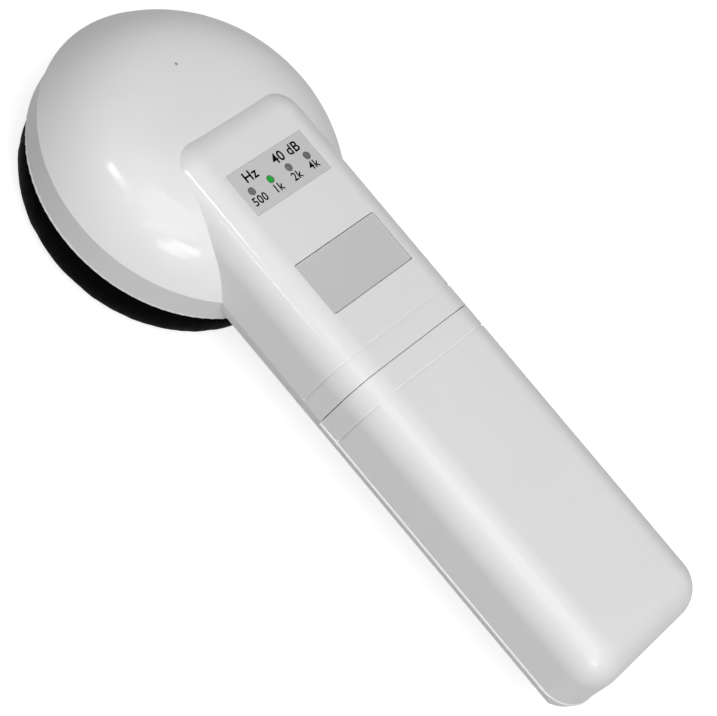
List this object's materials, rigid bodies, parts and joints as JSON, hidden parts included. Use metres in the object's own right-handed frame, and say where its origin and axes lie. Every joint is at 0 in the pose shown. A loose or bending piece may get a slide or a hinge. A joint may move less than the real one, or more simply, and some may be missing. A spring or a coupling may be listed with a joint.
{
  "type": "audiometer",
  "caption": "Hand-held hearing screener: round padded ear cup on a straight rectangular handle, with frequency lamps, a press key and a sliding battery cover.",
  "frame": {"origin": "middle of the footprint, on the plane of the cushion's crown", "axes": "+X along the handle to its free end, +Z out of the front face with the lamps and the key, +Y across the handle"},
  "size_m": [0.2249, 0.0918, 0.0482],
  "materials": {
    "shell": "satin",
    "grey_plastic": "satin",
    "lamp_grey": "clear",
    "lamp_green": "clear",
    "black_plastic": "matt",
    "steel": "bright",
    "red_plastic": "satin",
    "board": "solder mask",
    "capacitor": "gloss sleeve",
    "white_plastic": "matt",
    "magnet": "sintered",
    "cone": "matt",
    "copper": "enamelled wire",
    "rubber": "matt",
    "foam": "open cell foam",
    "cloth": "thin acoustic cloth",
    "cushion": "soft artificial leather",
    "battery_case": "satin",
    "lead_red": "satin",
    "lead_black": "satin"
  },
  "bodies": {
    "case": {"front_shell": "shell", "rear_shell": "shell", "label_panel": "grey_plastic", "led_500": "lamp_grey", "led_1k": "lamp_green", "led_2k": "lamp_grey", "led_4k": "lamp_grey", "led_spacer": "black_plastic", "key_springs": "steel", "switch_case": "black_plastic", "main_board": "board", "board_chips": "black_plastic", "board_capacitors": "capacitor", "board_crystal": "steel", "board_resistors": "black_plastic", "board_sockets": "white_plastic", "board_screws": "steel", "case_screws": "steel", "speaker_frame": "steel", "speaker_magnet": "magnet", "speaker_surround": "rubber", "speaker_gasket": "foam", "speaker_screws": "steel", "speaker_lead_red": "lead_red", "speaker_lead_black": "lead_black", "acoustic_cloth": "cloth", "cushion_plate": "black_plastic", "plate_screws": "steel", "ear_cushion": "cushion", "damping_foam": "foam", "battery": "battery_case", "battery_terminals": "steel", "battery_clip": "rubber", "battery_lead_red": "lead_red", "battery_lead_black": "lead_black"},
    "cover": {"battery_cover": "shell", "cover_pad": "foam"},
    "key": {"test_key": "grey_plastic"},
    "plunger": {"switch_plunger": "red_plastic"},
    "cone": {"speaker_cone": "cone", "voice_coil": "copper"}
  },
  "joints": [
    {"name": "cover_slide", "type": "slide", "parent": "case", "child": "cover", "axis": [1, 0, 0], "range_m": [0, 0.08]},
    {"name": "key_press", "type": "slide", "parent": "case", "child": "key", "axis": [0, 0, -1], "range_m": [0, 0.0008], "stiffness_N_per_m": 600, "springref_m": -0.001, "deforming": ["key_springs"]},
    {"name": "plunger_press", "type": "slide", "parent": "case", "child": "plunger", "axis": [0, 0, -1], "range_m": [0, 0.0008]},
    {"name": "cone_stroke", "type": "slide", "parent": "case", "child": "cone", "axis": [0, 0, 1], "range_m": [-0.0003, 0.0003], "stiffness_N_per_m": 1000}
  ],
  "couplings": [
    {"joint": "plunger_press", "follows": "key_press", "ratio": 1}
  ]
}
